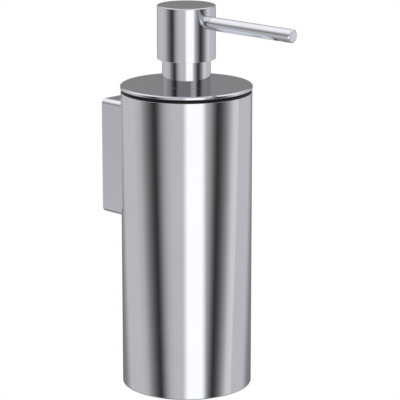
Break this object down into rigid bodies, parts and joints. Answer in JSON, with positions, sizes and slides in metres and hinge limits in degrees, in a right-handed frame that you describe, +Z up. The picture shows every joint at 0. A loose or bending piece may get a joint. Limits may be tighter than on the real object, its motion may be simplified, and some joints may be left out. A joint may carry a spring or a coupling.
{
  "type": "wall mounted soap dispenser",
  "caption": "Round metal soap dispenser on a small wall block, with a lift-off lid, a lift-out container, a sprung press pump and a thin straight spout that swivels.",
  "frame": {"origin": "middle of the bracket block's back, on the wall", "axes": "+Y points into the wall, +Z up, +X to the side; the spout points to -Y"},
  "size_m": [0.0604, 0.1064, 0.1776],
  "materials": {
    "chrome": "polished chrome plate",
    "plate_steel": "zinc plated",
    "screw_steel": "stainless",
    "nut_brass": "machined",
    "spring_steel": "drawn wire",
    "ball_steel": "polished",
    "black_plastic": "fine moulded",
    "white_plastic": "moulded",
    "clear_plastic": "milky extruded tube",
    "rubber": "matt"
  },
  "bodies": {
    "bracket": {"wall_plate": "plate_steel", "bracket_block": "chrome", "set_screw": "screw_steel", "body_screws": "screw_steel", "body_sleeve": "chrome", "base_disc": "chrome"},
    "container": {"container": "black_plastic"},
    "lid": {"lid_disc": "chrome", "lid_gasket": "rubber", "lid_stopper": "white_plastic", "stopper_o_ring": "rubber", "collar": "chrome", "collar_nut": "nut_brass", "housing_gasket": "rubber", "pump_housing": "white_plastic", "guide_bush": "black_plastic", "valve_cage": "white_plastic", "dip_tube": "clear_plastic", "return_spring": "spring_steel"},
    "inlet_ball": {"inlet_ball": "ball_steel"},
    "plunger": {"stem": "white_plastic", "piston": "white_plastic", "piston_seal": "rubber"},
    "outlet_ball": {"outlet_ball": "ball_steel"},
    "head": {"pump_head": "chrome", "spout": "chrome"}
  },
  "joints": [
    {"name": "container_lift", "type": "slide", "parent": "bracket", "child": "container", "axis": [0, 0, 1], "range_m": [0, 0.15]},
    {"name": "lid_lift", "type": "slide", "parent": "container", "child": "lid", "axis": [0, 0, 1], "range_m": [0, 0.15]},
    {"name": "pump_press", "type": "slide", "parent": "lid", "child": "plunger", "axis": [0, 0, -1], "range_m": [0, 0.01], "stiffness_N_per_m": 700, "springref_m": -0.006, "deforming": ["return_spring"]},
    {"name": "head_swivel", "type": "hinge", "parent": "plunger", "child": "head", "pos_m": [0, -0.0417, 0.0671], "axis": [0, 0, 1], "continuous": true},
    {"name": "inlet_valve_lift", "type": "slide", "parent": "lid", "child": "inlet_ball", "axis": [0, 0, 1], "range_m": [0, 0.0012]},
    {"name": "outlet_valve_lift", "type": "slide", "parent": "plunger", "child": "outlet_ball", "axis": [0, 0, 1], "range_m": [0, 0.001]}
  ]
}
